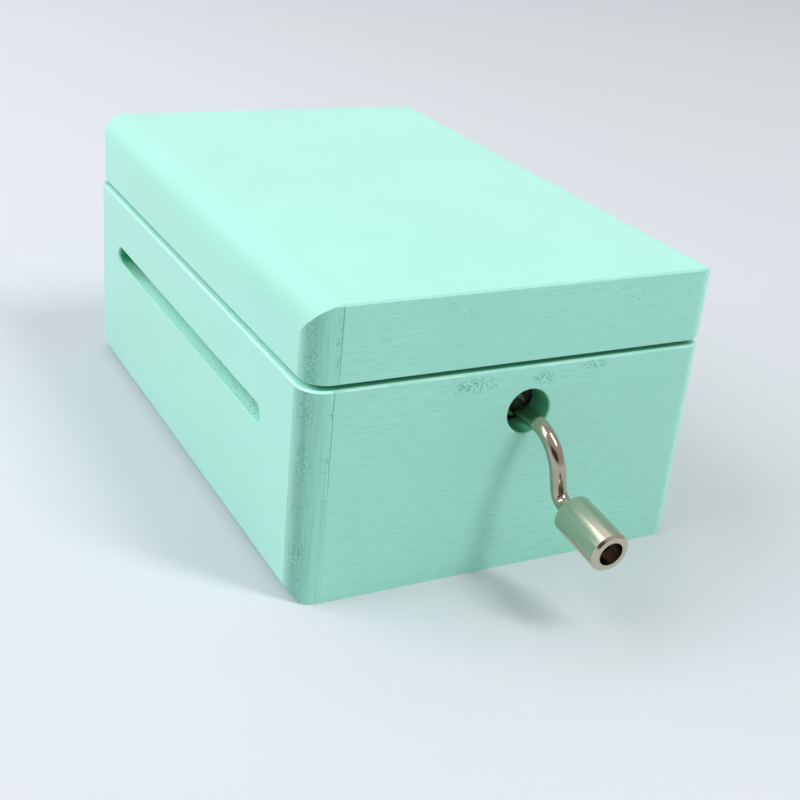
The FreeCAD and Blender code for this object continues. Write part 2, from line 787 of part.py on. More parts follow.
def make_pressure_roller():
    along = V(0, 1, 0)
    core_front = V(drive_x, strip_centre_y - strip_width / 2, pressure_z)
    core = facet_rod(core_front, along, pressure_roller_radius, strip_width, roller_sides)
    neck_front = front_inner + gear_end_play
    neck = facet_rod(V(drive_x, neck_front, pressure_z), along, neck_radius,
                     back_inner - gear_end_play - neck_front)
    journals = rod_y(drive_x, pressure_z, front_outer, back_outer, pressure_journal_radius)
    export("pressure_roller", core.fuse([neck, journals]).removeSplitter())


def guide_plate(x0, x1, z0, z1, tab_xs):
    plate = block(x0, x1, front_inner, back_inner, z0, z1)
    tabs = [block(x - tab_width / 2, x + tab_width / 2, front_outer, back_outer, z0, z1) for x in tab_xs]
    return plate.fuse(tabs).removeSplitter()


def star_slots(z0, z1):
    """One slot for each star wheel through a guide plate."""
    level = min(abs(star_z - z0), abs(star_z - z1))
    reach = math.sqrt(star_tip_radius ** 2 - level ** 2) + guide_slot_end_clearance
    half = star_thickness / 2 + guide_slot_side_clearance
    ys = [first_note_y + note_pitch * i for i in range(note_count)]
    return [block(star_x - reach, star_x + reach, y - half, y + half, z0, z1) for y in ys]


def make_guides():
    lower = guide_plate(-plate_reach, plate_reach, lower_plate_bottom, lower_plate_top, lower_tab_xs)
    window = pressure_roller_radius + guide_slot_end_clearance
    half = strip_width / 2 + 1.0
    lower = lower.cut(star_slots(lower_plate_bottom, lower_plate_top))
    lower = lower.cut(block(drive_x - window, drive_x + window, strip_centre_y - half,
                            strip_centre_y + half, lower_plate_bottom, lower_plate_top))
    right = drive_x - ring_radius - 2 * guide_slot_end_clearance
    upper = guide_plate(-plate_reach, right, upper_plate_bottom, upper_plate_top, upper_tab_xs)
    upper = upper.cut(star_slots(upper_plate_bottom, upper_plate_top))
    export("lower_strip_guide", lower)
    export("upper_strip_guide", upper)


def make_star_wheels():
    turn = 2 * math.pi / star_teeth
    for i in range(note_count):
        y0 = first_note_y + note_pitch * i - star_thickness / 2
        points = []
        for k in range(star_teeth):
            middle = math.pi / 2 + k * turn
            side = [(star_tip_radius, middle), (star_root_radius, middle + turn / 2)]
            points.extend([V(star_x + r * math.cos(t), y0, star_z + r * math.sin(t)) for r, t in side])
        star = prism(points, V(0, star_thickness, 0))
        bore = star_axle_radius + star_running_clearance
        star = star.cut(facet_bore(V(star_x, y0, star_z), V(0, 1, 0), bore, star_thickness, 8))
        export("star_wheel_%02d" % (i + 1), star)


def spacer_tab(y0, clearance):
    left = star_x - star_tip_radius - guide_slot_end_clearance - spacer_bar_back
    half = spacer_bar_thickness / 2 + clearance
    return block(left - clearance, left + spacer_tab_width + clearance, y0, y0 + frame_thickness,
                 star_z - half, star_z + half)


def make_star_axle():
    slot_left = star_x - star_tip_radius - guide_slot_end_clearance
    left = slot_left - spacer_bar_back
    right = star_x - star_axle_radius - spacer_axle_gap
    low = star_z - spacer_bar_thickness / 2
    high = star_z + spacer_bar_thickness / 2
    bar = block(left, right, front_inner, back_inner, low, high)
    bar = bar.fuse([spacer_tab(front_outer, 0), spacer_tab(back_inner, 0)]).removeSplitter()
    half = star_thickness / 2 + spacer_side_clearance
    ys = [first_note_y + note_pitch * i for i in range(note_count)]
    bar = bar.cut([block(slot_left, right, y - half, y + half, low, high) for y in ys])
    export("star_axle", rod_y(star_x, star_z, front_outer, back_outer, star_axle_radius))
    export("star_spacer_bar", bar)


def comb_screw_ys():
    spacing = star_width / comb_screw_count
    return [strip_centre_y + (k - (comb_screw_count - 1) / 2) * spacing for k in range(comb_screw_count)]


def comb_screw_shank(y, bottom, top):
    return facet_rod(V(bridge_middle, y, bottom), V(0, 0, 1), comb_screw_radius, top - bottom)


def make_comb():
    low = comb_underside
    top = low + comb_root_thickness
    y0 = first_note_y - note_pitch
    y1 = first_note_y + star_width + note_pitch
    root_bass = comb_tip_x - bass_tine_length
    root_treble = comb_tip_x - treble_tine_length
    body = prism([V(bridge_left, y0, low), V(root_bass, y0, low), V(root_treble, y1, low),
                  V(bridge_left, y1, low)], V(0, 0, comb_root_thickness))
    half = (note_pitch - tine_gap) / 2
    tines = []
    weights = []
    for i in range(note_count):
        y = first_note_y + note_pitch * i
        tines.append(block(bridge_middle, comb_tip_x, y - half, y + half, low, low + tine_thickness))
        if i < weighted_tines:
            right = star_x - star_tip_radius - guide_slot_end_clearance
            left = right - weight_length + weight_length_step * i
            side = half - weight_side_clearance
            weights.append(block(left, right, y - side, y + side, low - weight_height, low))
    comb = body.fuse(tines).removeSplitter()
    shank_bottom = low - comb_screw_reach
    head_top = top + comb_screw_head_height
    half_slot = screw_slot_width / 2
    screws = []
    for y in comb_screw_ys():
        head = facet_rod(V(bridge_middle, y, top), V(0, 0, 1), comb_screw_head_radius,
                         comb_screw_head_height, 16)
        reach = comb_screw_head_radius + 1
        slot = block(bridge_middle - reach, bridge_middle + reach, y - half_slot, y + half_slot,
                     head_top - screw_slot_depth, head_top)
        shank = comb_screw_shank(y, shank_bottom, top)
        screws.append(head.cut(slot).fuse(shank).removeSplitter())
    holes = [comb_screw_shank(y, shank_bottom, top) for y in comb_screw_ys()]
    bridge = block(bridge_left, bridge_right, front_inner, back_inner, bridge_bottom, low)
    bridge = bridge.cut(holes).cut(bridge_screws())
    export("comb", comb.cut(holes))
    export("comb_weights", *weights)
    export("comb_screws", *screws)
    export("comb_bridge", bridge)
    export("frame_screws", *bridge_screws(), *bracket_screws())


def crank_place(along, away):
    """Point of the crank's plane: along the shaft towards the front, and away from its axis."""
    across = away * math.sin(crank_swing)
    return V(crank_x + across, -half_depth - along, crank_z - away * math.cos(crank_swing))


def crank_bend(along, away, radius, start, stop):
    """Bend of the wire; the angles are the wire's slope to the shaft at both ends."""
    sign = 1 if stop > start else -1
    centre = (along - sign * radius * math.sin(start), away + sign * radius * math.cos(start))
    end = (centre[0] + sign * radius * math.sin(stop), centre[1] - sign * radius * math.cos(stop))
    begin = crank_place(along, away)
    slope = crank_place(along + math.cos(start), away + math.sin(start)) - begin
    across = V(math.cos(crank_swing), 0, math.sin(crank_swing))
    ring = Part.Face(Part.Wire(Part.makeCircle(wire_radius, begin, slope)))
    bend = ring.revolve(crank_place(*centre), across, math.degrees(stop - start))
    return bend, end


def crank_run(first, last):
    begin = crank_place(*first)
    run = crank_place(*last) - begin
    return Part.makeCylinder(wire_radius, run.Length, begin, run)


def make_crank():
    begin = (shaft_front_reach + inner_y - half_depth, 0.0)
    first = (crank_straight, 0.0)
    bend_one, bend_end = crank_bend(first[0], first[1], crank_bend_radius, 0.0, crank_arm_angle)
    arm_end = (bend_end[0] + crank_arm_length * math.cos(crank_arm_angle),
               bend_end[1] + crank_arm_length * math.sin(crank_arm_angle))
    bend_two, grip_start = crank_bend(arm_end[0], arm_end[1], handle_bend_radius, crank_arm_angle,
                                      handle_droop)

    def on_grip(distance):
        return (grip_start[0] + distance * math.cos(handle_droop),
                grip_start[1] + distance * math.sin(handle_droop))

    grip_end = on_grip(knob_start + knob_length - knob_counterbore_depth + peened_head_height)
    wire = crank_run(begin, first).fuse([bend_one, crank_run(bend_end, arm_end), bend_two,
                                         crank_run(grip_start, grip_end)])
    thread_end = -inner_y - shaft_front_reach + wire_thread_length - 0.2
    thread = rod_y(crank_x, crank_z, -inner_y - shaft_front_reach, thread_end, wire_thread_radius)
    back = crank_place(*on_grip(knob_start))
    front = crank_place(*on_grip(knob_start + knob_length))
    axis = front - back
    axis.normalize()
    step = knob_length - knob_counterbore_depth
    gap = knob_bore_clearance
    peened = Part.makeCylinder(peened_head_radius, peened_head_height, back + axis * (step + gap), axis)
    collar = Part.makeCylinder(peened_head_radius, peened_head_height, back + axis * collar_recess, axis)
    wire = wire.fuse([thread, peened, collar]).removeSplitter()
    bore = wire_radius + gap
    back_depth = collar_recess + peened_head_height + gap
    profile = [(0, peened_head_radius + gap), (0, knob_radius - knob_edge), (knob_edge, knob_radius),
               (knob_length - knob_edge, knob_radius), (knob_length, knob_radius - knob_edge),
               (knob_length, knob_counterbore_radius), (step, knob_counterbore_radius), (step, bore),
               (back_depth, bore), (back_depth, peened_head_radius + gap)]
    export("crank_wire", wire)
    export("crank_knob", revolve_on(back, axis, profile))


make_case_body()
make_lid()
make_hinges()
make_magnets()
make_base()
make_frames()
make_bracket()
make_bushes()
make_crank_shaft()
make_drive_roller()
make_pressure_roller()
make_guides()
make_star_wheels()
make_star_axle()
make_comb()
make_crank()
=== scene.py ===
import math

import bpy
from mathutils import Matrix, Vector

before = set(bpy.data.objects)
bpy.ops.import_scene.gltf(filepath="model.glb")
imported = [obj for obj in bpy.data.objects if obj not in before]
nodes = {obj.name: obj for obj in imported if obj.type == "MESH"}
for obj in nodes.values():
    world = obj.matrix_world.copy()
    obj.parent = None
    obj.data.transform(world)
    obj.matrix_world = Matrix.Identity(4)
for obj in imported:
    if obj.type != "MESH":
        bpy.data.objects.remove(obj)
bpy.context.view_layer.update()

# Looks of a hand cranked music box in a mint green painted wooden case.
# Everything is in metres; the sizes below are given in millimetres.
MM = 0.001

# Places on the case that its finish follows
CASE_X = 34.6
CASE_Y = 52.0
INNER_X = 29.6
INNER_Y = 47.0
FLOOR_TOP = 4.0
SLOT_BOTTOM = 22.75
SLOT_TOP = 25.75
RIM_Z = 35.0
LID_RIM_Z = 35.8
LID_CEILING = 42.8
LID_TOP = 47.8
BODY_JOINT_X = -30.2
LID_JOINT_X = -29.6
HOLE_X = 2.6
HOLE_Z = 27.35
HOLE_RADIUS = 3.7

# Back end of the knob's axis, the way it points, and the radius of the opening at its front
KNOB_BACK = (4.66, -63.65, 15.79)
KNOB_AXIS = (0.018, -0.9932, -0.1153)
KNOB_OPENING = 1.95

PAINT = "#9FE6D2"
# Lighter paint that stands for painted light, on the ledge and in the slot
PAINT_PAINTED_LIGHT = "#B6FAE9"
# Near-white painted highlight along the paint that stands up below the rim
PAINT_RIDGE_HIGHLIGHT = "#D8FFF4"
# Deeper green for paint soaked into pores and joints, and partly painted shade in small pits and
# hollows
PAINT_SOAKED_AND_PIT_SHADE = "#3CA888"
PAINT_IN_SHADE = "#2FB483"
# Painted shade on the wall of the crank's hole
PAINT_SHADED_IN_HOLE = "#66C79C"
BIRCH = "#C9A97C"

# Rubbed spots under the rim, where the paint stands in small grains with painted shade between
# them: centre and reach
RUBBED_SPOTS_WITH_SHADE = [((-7.5, -52, 32.9), (5.5, 3, 1.5)), ((4.6, -52, 32.7), (2.6, 3, 1.4)),
                ((13.5, -52, 33.9), (3.2, 3, 0.9))]

# Tone of the board's end: how far round the corner, from 0 at the side to 1 at the front,
# and how bright. The greens between the two ends lose a little red and blue as well.
SOAKED_START = (0.84, 0.88, 0.86, 1)
SOAKED_STEPS = [(0.3, 0.70), (0.55, 0.62), (0.8, 0.77), (0.97, 0.93)]
SOAKED_STOP = (0.92, 0.95, 0.93, 1)

# How open the corner's joint is: share of the case's height, and opening
JOINT_AT_FLOOR = 0.15
JOINT_STEPS = [(0.3, 0.35), (0.55, 0.85), (0.73, 1.0), (0.75, 0.2), (0.82, 0.7), (0.9, 0.9)]

# The camera, fitted to the straight edges of the case in a picture of 800 pixels
PICTURE_PX = 800
FOCAL_PX = 1338.69
CENTRE_PX = (401.49, 400.79)
SENSOR_WIDTH = 36.0
CAMERA_AT = (-103.942, -202.689, 113.196)
CAMERA_RIGHT = (0.88854, -0.45025, 0.08819)
CAMERA_AHEAD = (0.44238, 0.78981, -0.42485)

# In metres: the point that the lamps look at, half the floor's width, and the dark card's corners
LIT_POINT = (0, 0, 0.03)
FLOOR_REACH = 6.0
FLAG_CORNERS = [(-0.9, -0.5, 0.05), (0.0, -0.95, 0.05), (0.0, -0.95, 0.5), (-0.9, -0.5, 0.5)]


def linear(hex_colour):
    """An sRGB hex colour as the linear colour that the shaders take."""
    channels = [int(hex_colour[i:i + 2], 16) / 255 for i in (1, 3, 5)]
    return [c / 12.92 if c <= 0.04045 else ((c + 0.055) / 1.055) ** 2.4 for c in channels] + [1.0]


def across(size_mm):
    """Noise scale that gives features about this many millimetres wide."""
    return 1.0 / (size_mm * MM)


def add(tree, kind, links=None, **settings):
    """Add a node, with its settings and with links or values for its inputs."""
    node = tree.nodes.new(kind)
    for name, value in settings.items():
        setattr(node, name, value)
    for name, value in (links or {}).items():
        if isinstance(value, bpy.types.NodeSocket):
            tree.links.new(value, node.inputs[name])
        else:
            node.inputs[name].default_value = value
    return node


def new_finish(name, surface):
    """A material with one surface shader; surface holds the shader's own values."""
    material = bpy.data.materials.new(name)
    material.use_nodes = True
    tree = material.node_tree
    tree.nodes.clear()
    shader = add(tree, "ShaderNodeBsdfPrincipled", surface)
    add(tree, "ShaderNodeOutputMaterial", {"Surface": shader.outputs[0]})
    return material, tree, shader


def rise(tree, value, low, high, start=0.0, stop=1.0):
    """Mask that goes from start to stop while the value goes from low to high."""
    return add(tree, "ShaderNodeMapRange", {"Value": value, "From Min": low, "From Max": high,
                                            "To Min": start, "To Max": stop}).outputs[0]


def rise_mm(tree, value, low, high, start=0.0, stop=1.0):
    """The same for a place or a distance, with low and high in millimetres."""
    return rise(tree, value, low * MM, high * MM, start, stop)


def swing(tree, noise, start, stop):
    """Value that swings from start to stop with a noise, nearly all of which lies in 0.3 to 0.7."""
    return rise(tree, noise, 0.3, 0.7, start, stop)


def where_all(tree, *masks):
    """Mask that holds only where all of these do; a number is an even share."""
    joined = masks[0]
    for mask in masks[1:]:
        joined = add(tree, "ShaderNodeMath", {0: joined, 1: mask}, operation="MULTIPLY").outputs[0]
    return joined


def coat(tree, under, over, mask):
    """Colour with another laid over it where the mask holds."""
    return add(tree, "ShaderNodeMix", {0: mask, 6: under, 7: over}, data_type="RGBA").outputs[2]


def shaded(tree, colour, factor):
    """Colour made lighter or darker by a factor from place to place."""
    return add(tree, "ShaderNodeVectorMath", {0: colour, 3: factor}, operation="SCALE").outputs[0]


def toned(tree, colour, mask, factor):
    """Colour made lighter or darker by one factor where the mask holds."""
    return shaded(tree, colour, rise(tree, mask, 0.0, 1.0, 1.0, factor))


def streaks(tree, here, axis, width_mm, length_share, turn=0.0):
    """Noise drawn out along one axis: grain, brush marks or scratches.

    The length share is the width of a streak divided by its length.
    """
    stretch = [1.0, 1.0, 1.0]
    stretch["XYZ".index(axis)] = length_share
    if turn:
        here = add(tree, "ShaderNodeVectorRotate", {"Vector": here, "Angle": turn},
                   rotation_type="Y_AXIS").outputs[0]
    drawn = add(tree, "ShaderNodeMapping", {"Vector": here, "Scale": stretch})
    return add(tree, "ShaderNodeTexNoise", {"Vector": drawn.outputs[0], "Scale": across(width_mm),
                                            "Detail": 3.0}).outputs[0]


def patch(tree, here, centre_mm, reach_mm):
    """Soft-edged round spot on the case."""
    size = [1 / (r * MM) for r in reach_mm]
    shift = [-c / r for c, r in zip(centre_mm, reach_mm)]
    local = add(tree, "ShaderNodeMapping", {"Vector": here, "Location": shift, "Scale": size})
    distance = add(tree, "ShaderNodeVectorMath", {0: local.outputs[0]}, operation="LENGTH")
    return rise(tree, distance.outputs["Value"], 1.0, 0.35)


def roughen(tree, shader, height, strength, depth_mm):
    """Give the shader a relief, as deep as this for the whole span of the height."""
    relief = add(tree, "ShaderNodeBump", {"Height": height, "Strength": strength,
                                          "Distance": depth_mm * MM})
    tree.links.new(relief.outputs[0], shader.inputs["Normal"])


class PaintedBoard:
    """Satin acrylic paint brushed thinly on sanded birch boards.

    The paint lets the finest lines of the grain through, stands up along sharp edges,
    and soaks in and turns darker where the end of a board shows. The fine fibres that
    it raised give it a pale bloom where it is seen at a low angle.
    """

    def __init__(self, name, grain_axis, grain_shows):
        surface = {"IOR": 1.5, "Sheen Roughness": 0.5}
        self.finish, self.tree, self.shader = new_finish(name, surface)
        tree = self.tree
        place = add(tree, "ShaderNodeTexCoord")
        self.here = place.outputs["Object"]
        self.at = add(tree, "ShaderNodeSeparateXYZ", {0: self.here}).outputs
        self.facing = add(tree, "ShaderNodeSeparateXYZ", {0: place.outputs["Normal"]}).outputs
        # Grains of dried paint, unevenness of the brush, and clouds of thicker and thinner paint
        self.grit, self.wide, self.mottled = [
            add(tree, "ShaderNodeTexNoise", {"Vector": self.here, "Scale": across(size_mm),
                                             "Detail": 2.0}).outputs[0]
            for size_mm in (0.32, 5.0, 18.0)]
        # The grain's lines are drawn wider than the pores of birch, about 0.1 mm, so that they show
        self.grain = streaks(tree, self.here, grain_axis, 0.45, 0.03)
        lines = swing(tree, self.grain, 1 - grain_shows, 1 + 0.6 * grain_shows)
        clouds = rise(tree, self.mottled, 0.35, 0.65, 0.985, 1.012)
        self.colour = shaded(tree, linear(PAINT)[:3], where_all(tree, lines, clouds))
        self.height = self.grain
        self.recess = 0.0
        self.roughness = swing(tree, self.grain, 0.48, 0.6)

    def depth(self, coordinate, outer_mm):
        """Distance inwards from the case's two faces across one axis."""
        size = add(self.tree, "ShaderNodeMath", {0: self.at[coordinate]}, operation="ABSOLUTE")
        return add(self.tree, "ShaderNodeMath", {0: outer_mm * MM, 1: size.outputs[0]},
                   operation="SUBTRACT").outputs[0]

    def front_face(self):
        """Mask of the flat face at the front, without the rounds beside it."""
        return rise(self.tree, self.facing["Y"], -0.8, -0.95)

    def lay(self, paint, *masks):
        """Lay another colour of paint where all the masks hold."""
        self.colour = coat(self.tree, self.colour, linear(paint), where_all(self.tree, *masks))

    def tone(self, mask, factor):
        """Make the paint lighter or darker where the mask holds."""
        self.colour = toned(self.tree, self.colour, mask, factor)

    def sink(self, mask):
        """Lower the surface where the mask holds."""
        self.height = add(self.tree, "ShaderNodeMath", {0: self.height, 1: mask},
                          operation="SUBTRACT").outputs[0]

    def close_in(self, mask):
        """Take the pale bloom away where the mask holds, deep between other faces."""
        self.recess = add(self.tree, "ShaderNodeMath", {0: self.recess, 1: mask},
                          operation="MAXIMUM").outputs[0]

    def scratches(self):
        """Short open grain lines, and sanding scratches that slant down across them.

        Both are drawn about a quarter of a millimetre wide, coarser than the real ones,
        so that they show.
        """
        tree = self.tree
        slanted = streaks(tree, self.here, "X", 0.25, 0.035, math.radians(-34))
        x_less_z = add(tree, "ShaderNodeMath", {0: self.at["X"], 1: self.at["Z"]},
                       operation="SUBTRACT").outputs[0]
        low_or_right = rise_mm(tree, x_less_z, -25, 5)
        sparse = where_all(tree, rise(tree, slanted, 0.57, 0.62),
                           rise(tree, self.wide, 0.44, 0.56), low_or_right)
        short_lines = streaks(tree, self.here, "X", 0.24, 0.1)
        spread = rise(tree, self.mottled, 0.42, 0.58, 0.4, 1.0)
        open_grain = where_all(tree, rise(tree, short_lines, 0.59, 0.65), spread)
        between = where_all(tree, rise(tree, short_lines, 0.42, 0.36), spread)
        marks = add(tree, "ShaderNodeMath", {0: sparse, 1: open_grain},
                    operation="MAXIMUM").outputs[0]
        darker = rise(tree, marks, 0.0, 1.0, 1.0, 0.91)
        lighter = rise(tree, between, 0.0, 1.0, 1.0, 1.05)
        self.colour = shaded(tree, self.colour, where_all(tree, darker, lighter))

    def pits(self):
        """A few pin holes, most of them high on the lid, that the paint ran into."""
        tree = self.tree
        holes = where_all(tree, rise(tree, self.grit, 0.67, 0.71),
                          rise(tree, self.wide, 0.5, 0.56),
                          rise_mm(tree, self.at["Z"], 38, 45, 0.15, 1.0), self.front_face())
        self.lay(PAINT_SOAKED_AND_PIT_SHADE, holes, 0.8)
        self.sink(holes)

    def painted_light_right_edge(self):
        """Eased right-hand corner, painted lighter for the light that falls on it from the right.
        """
        tree = self.tree
        corner = where_all(tree, rise(tree, self.facing["X"], 0.1, 0.45),
                           rise(tree, self.facing["Y"], 0.1, -0.1))
        # Painted light on the corner that turns to the right
        self.tone(corner, 1.14)

    def rubbed_spots_with_shade(self):
        """Grains of dry paint in a few spots near the rim, their darker green partly painted shade
        in the hollows between them.
        """
        tree = self.tree
        grains = rise(tree, self.grit, 0.5, 0.6)
        for centre, reach in RUBBED_SPOTS_WITH_SHADE:
            spot = where_all(tree, grains, patch(tree, self.here, centre, reach))
            # Darker green partly painted shade between the grains
            self.lay(PAINT_SOAKED_AND_PIT_SHADE, spot, 0.75)
            self.sink(spot)

    def board_end(self):
        """End of the left board round the front corner: soaked, streaked and porous."""
        tree = self.tree
        # The turn is 0 where the round looks to the left and 1 where it looks to the front
        turn = add(tree, "ShaderNodeMath", {0: self.facing["Y"], 1: -1.0},
                   operation="MULTIPLY").outputs[0]
        upright = add(tree, "ShaderNodeMath", {0: self.facing["Z"]},
                      operation="ABSOLUTE").outputs[0]
        is_end = where_all(tree, rise(tree, turn, 0.02, 0.05), rise(tree, upright, 0.4, 0.2))
        soak = add(tree, "ShaderNodeValToRGB", {0: turn})
        ramp = soak.color_ramp
        for position, level in SOAKED_STEPS:
            ramp.elements.new(position).color = (0.93 * level, level, 0.96 * level, 1)
        ramp.elements[0].color = SOAKED_START
        ramp.elements[-1].color = SOAKED_STOP
        end_colour = add(tree, "ShaderNodeVectorMath", {0: self.colour, 1: soak.outputs[0]},
                         operation="MULTIPLY").outputs[0]
        upright_streaks = swing(tree, streaks(tree, self.here, "Z", 0.5, 0.05), 0.9, 1.07)
        end_colour = shaded(tree, end_colour, upright_streaks)
        middle = where_all(tree, rise(tree, turn, 0.2, 0.45), rise(tree, turn, 0.9, 0.7))
        clusters = where_all(tree, rise(tree, self.wide, 0.38, 0.54), middle)
        pores = where_all(tree, rise(tree, self.grit, 0.5, 0.6), clusters)
        grains = where_all(tree, rise(tree, self.grit, 0.45, 0.38), clusters)
        # The pores' deeper green and the grains' lighter tone are partly painted shade and
        # highlight on this porous relief
        end_colour = coat(tree, end_colour, linear(PAINT_SOAKED_AND_PIT_SHADE), where_all(tree, pores, 0.62))
        end_colour = toned(tree, end_colour, grains, 1.18)
        arris = where_all(tree, rise(tree, turn, 0.1, 0.07),
                          rise(tree, self.wide, 0.4, 0.5, 0.3, 1.0))
        end_colour = toned(tree, end_colour, arris, 0.8)
        self.colour = coat(tree, self.colour, end_colour, is_end)
        self.sink(where_all(tree, pores, is_end))

    def corner_joint(self):
        """Thin wandering line where the front board meets the end of the left one."""
        tree = self.tree
        wander = swing(tree, self.wide, -0.1 * MM, 0.1 * MM)
        offset = add(tree, "ShaderNodeMath", {0: self.at["X"], 1: wander},
                     operation="ADD").outputs[0]
        joint_x = rise_mm(tree, self.at["Z"], RIM_Z, LID_RIM_Z, BODY_JOINT_X * MM,
                          LID_JOINT_X * MM)
        offset = add(tree, "ShaderNodeMath", {0: offset, 1: joint_x},
                     operation="SUBTRACT").outputs[0]
        gap = add(tree, "ShaderNodeMath", {0: offset}, operation="ABSOLUTE").outputs[0]
        opened = add(tree, "ShaderNodeValToRGB", {0: rise_mm(tree, self.at["Z"], 0, LID_TOP)})
        ramp = opened.color_ramp
        for position, level in JOINT_STEPS:
            ramp.elements.new(position).color = (level, level, level, 1)
        ramp.elements[0].color = (JOINT_AT_FLOOR, JOINT_AT_FLOOR, JOINT_AT_FLOOR, 1)
        front = self.front_face()
        line = where_all(tree, rise_mm(tree, gap, 0.13, 0.05), front, opened.outputs[0])
        # Specks on the end's side of the line, more of them higher up
        beside = where_all(tree, rise_mm(tree, offset, -1.1, -0.5), rise_mm(tree, offset, 0.2, 0),
                           rise(tree, self.grit, 0.54, 0.62), rise(tree, self.wide, 0.49, 0.57),
                           front, rise_mm(tree, self.at["Z"], 14, 28, 0.25, 1.0))
        marks = add(tree, "ShaderNodeMath", {0: line, 1: beside}, operation="MAXIMUM").outputs[0]
        self.lay(PAINT_SOAKED_AND_PIT_SHADE, marks, 0.8)
        self.sink(marks)

    def lapped_end(self):
        """Sliver of the lid's front, from the corner to the joint, that soaked up more paint."""
        tree = self.tree
        beyond_joint = rise_mm(tree, self.at["X"], LID_JOINT_X + 0.05, LID_JOINT_X - 0.05)
        on_lid = rise_mm(tree, self.at["Z"], LID_RIM_Z - 0.3, LID_RIM_Z)
        self.tone(where_all(tree, beyond_joint, on_lid, self.front_face()), 0.9)

    def paint_ridge_highlight(self):
        """Painted highlight on paint that stood up unevenly just below the sharp edge of the rim.
        """
        tree = self.tree
        ridge_highlight = where_all(tree, rise_mm(tree, self.at["Z"], RIM_Z - 0.4, RIM_Z - 0.3),
                          rise_mm(tree, self.at["Z"], RIM_Z - 0.1, RIM_Z - 0.2),
                          rise(tree, self.wide, 0.4, 0.58, 0.15, 1.0))
        self.lay(PAINT_RIDGE_HIGHLIGHT, ridge_highlight, 0.55)

    def painted_light_ledge(self):
        """Rim of the left board: painted light, brighter where the light from the left falls on the
        ledge below the lid.
        """
        tree = self.tree
        self.lay(PAINT_PAINTED_LIGHT, rise(tree, self.facing["Z"], 0.3, 0.6),
                 rise_mm(tree, self.at["Z"], RIM_Z - 0.7, RIM_Z - 0.3),
                 rise_mm(tree, self.at["Z"], RIM_Z + 0.2, RIM_Z + 0.1))

    def inside_the_seam(self):
        """Meeting faces of body and lid: painted shade, a deeper green behind the edge, sooner at
        the front.
        """
        tree = self.tree
        upright = add(tree, "ShaderNodeMath", {0: self.facing["Z"]},
                      operation="ABSOLUTE").outputs[0]
        from_side = where_all(tree, self.depth("X", CASE_X), 0.25)
        nearest = add(tree, "ShaderNodeMath", {0: from_side, 1: self.depth("Y", CASE_Y)},
                      operation="MINIMUM").outputs[0]
        seam = where_all(tree, rise(tree, upright, 0.9, 0.97), rise_mm(tree, nearest, 0.3, 0.7),
                         rise_mm(tree, self.at["Z"], RIM_Z - 0.1, RIM_Z),
                         rise_mm(tree, self.at["Z"], LID_RIM_Z + 0.2, LID_RIM_Z + 0.1))
        # Painted shade in the seam between body and lid
        self.lay(PAINT_IN_SHADE, seam, 0.5)
        self.close_in(seam)

    def inside_the_case(self):
        """Inner faces: one thin coat, with the birch showing through along the grain."""
        tree = self.tree
        walls = [rise_mm(tree, self.depth(axis, outer), outer - inner - 0.1, outer - inner)
                 for axis, outer, inner in (("X", CASE_X, INNER_X), ("Y", CASE_Y, INNER_Y))]
        bare = rise(tree, self.grain, 0.35, 0.7, 0.15, 0.65)
        inner_faces = where_all(tree, *walls,
                                rise_mm(tree, self.at["Z"], FLOOR_TOP - 0.2, FLOOR_TOP),
                                rise_mm(tree, self.at["Z"], LID_CEILING + 0.2, LID_CEILING))
        self.lay(BIRCH, inner_faces, bare)

    def slot_walls(self):
        """Walls of the strip's slot: painted light that brightens them, painted shade towards the
        far end, and rough grains towards the near end.
        """
        tree = self.tree
        inside = where_all(tree, rise_mm(tree, self.depth("X", CASE_X), 0.2, 0.6),
                           rise_mm(tree, self.depth("Y", CASE_Y), 12, 13),
                           rise_mm(tree, self.at["Z"], SLOT_BOTTOM - 0.15, SLOT_BOTTOM - 0.05),
                           rise_mm(tree, self.at["Z"], SLOT_TOP + 0.15, SLOT_TOP + 0.05))
        far_end_shade = rise_mm(tree, self.at["Y"], 24, 37)
        near_end = rise_mm(tree, self.at["Y"], 0, -30)
        coarse = add(tree, "ShaderNodeTexNoise", {"Vector": self.here, "Scale": across(0.6),
                                                  "Detail": 1.0}).outputs[0]
        grains = where_all(tree, rise(tree, coarse, 0.6, 0.66), inside, near_end)
        # Painted light on the walls, and painted shade deepening towards the far end
        self.lay(PAINT_PAINTED_LIGHT, inside)
        self.lay(PAINT_IN_SHADE, inside, far_end_shade)
        self.lay(PAINT_SOAKED_AND_PIT_SHADE, grains, 0.8)
        self.sink(grains)

    def hole_wall(self):
        """Wall of the crank's hole: painted shade, a deeper green behind the edge."""
        tree = self.tree
        aside, above = [
            add(tree, "ShaderNodeMath", {0: self.at[axis], 1: centre * MM},
                operation="SUBTRACT").outputs[0]
            for axis, centre in (("X", HOLE_X), ("Z", HOLE_Z))]
        centred = add(tree, "ShaderNodeCombineXYZ", {0: aside, 1: above})
        distance = add(tree, "ShaderNodeVectorMath", {0: centred.outputs[0]}, operation="LENGTH")
        wall = where_all(tree, rise_mm(tree, distance.outputs["Value"], HOLE_RADIUS + 0.15,
                                       HOLE_RADIUS + 0.05),
                         rise_mm(tree, self.depth("Y", CASE_Y), 0.15, 0.4))
        # Painted shade on the hole's wall
        self.lay(PAINT_SHADED_IN_HOLE, wall)
        self.close_in(wall)

    def done(self):
        """Join what was gathered to the shader, and return the material."""
        tree = self.tree
        bloom = rise(tree, self.recess, 0.0, 1.0, 0.42, 0.0)
        tree.links.new(self.colour, self.shader.inputs["Base Color"])
        tree.links.new(self.roughness, self.shader.inputs["Roughness"])
        tree.links.new(bloom, self.shader.inputs["Sheen Weight"])
        roughen(tree, self.shader, self.height, 0.35, 0.04)
        return self.finish


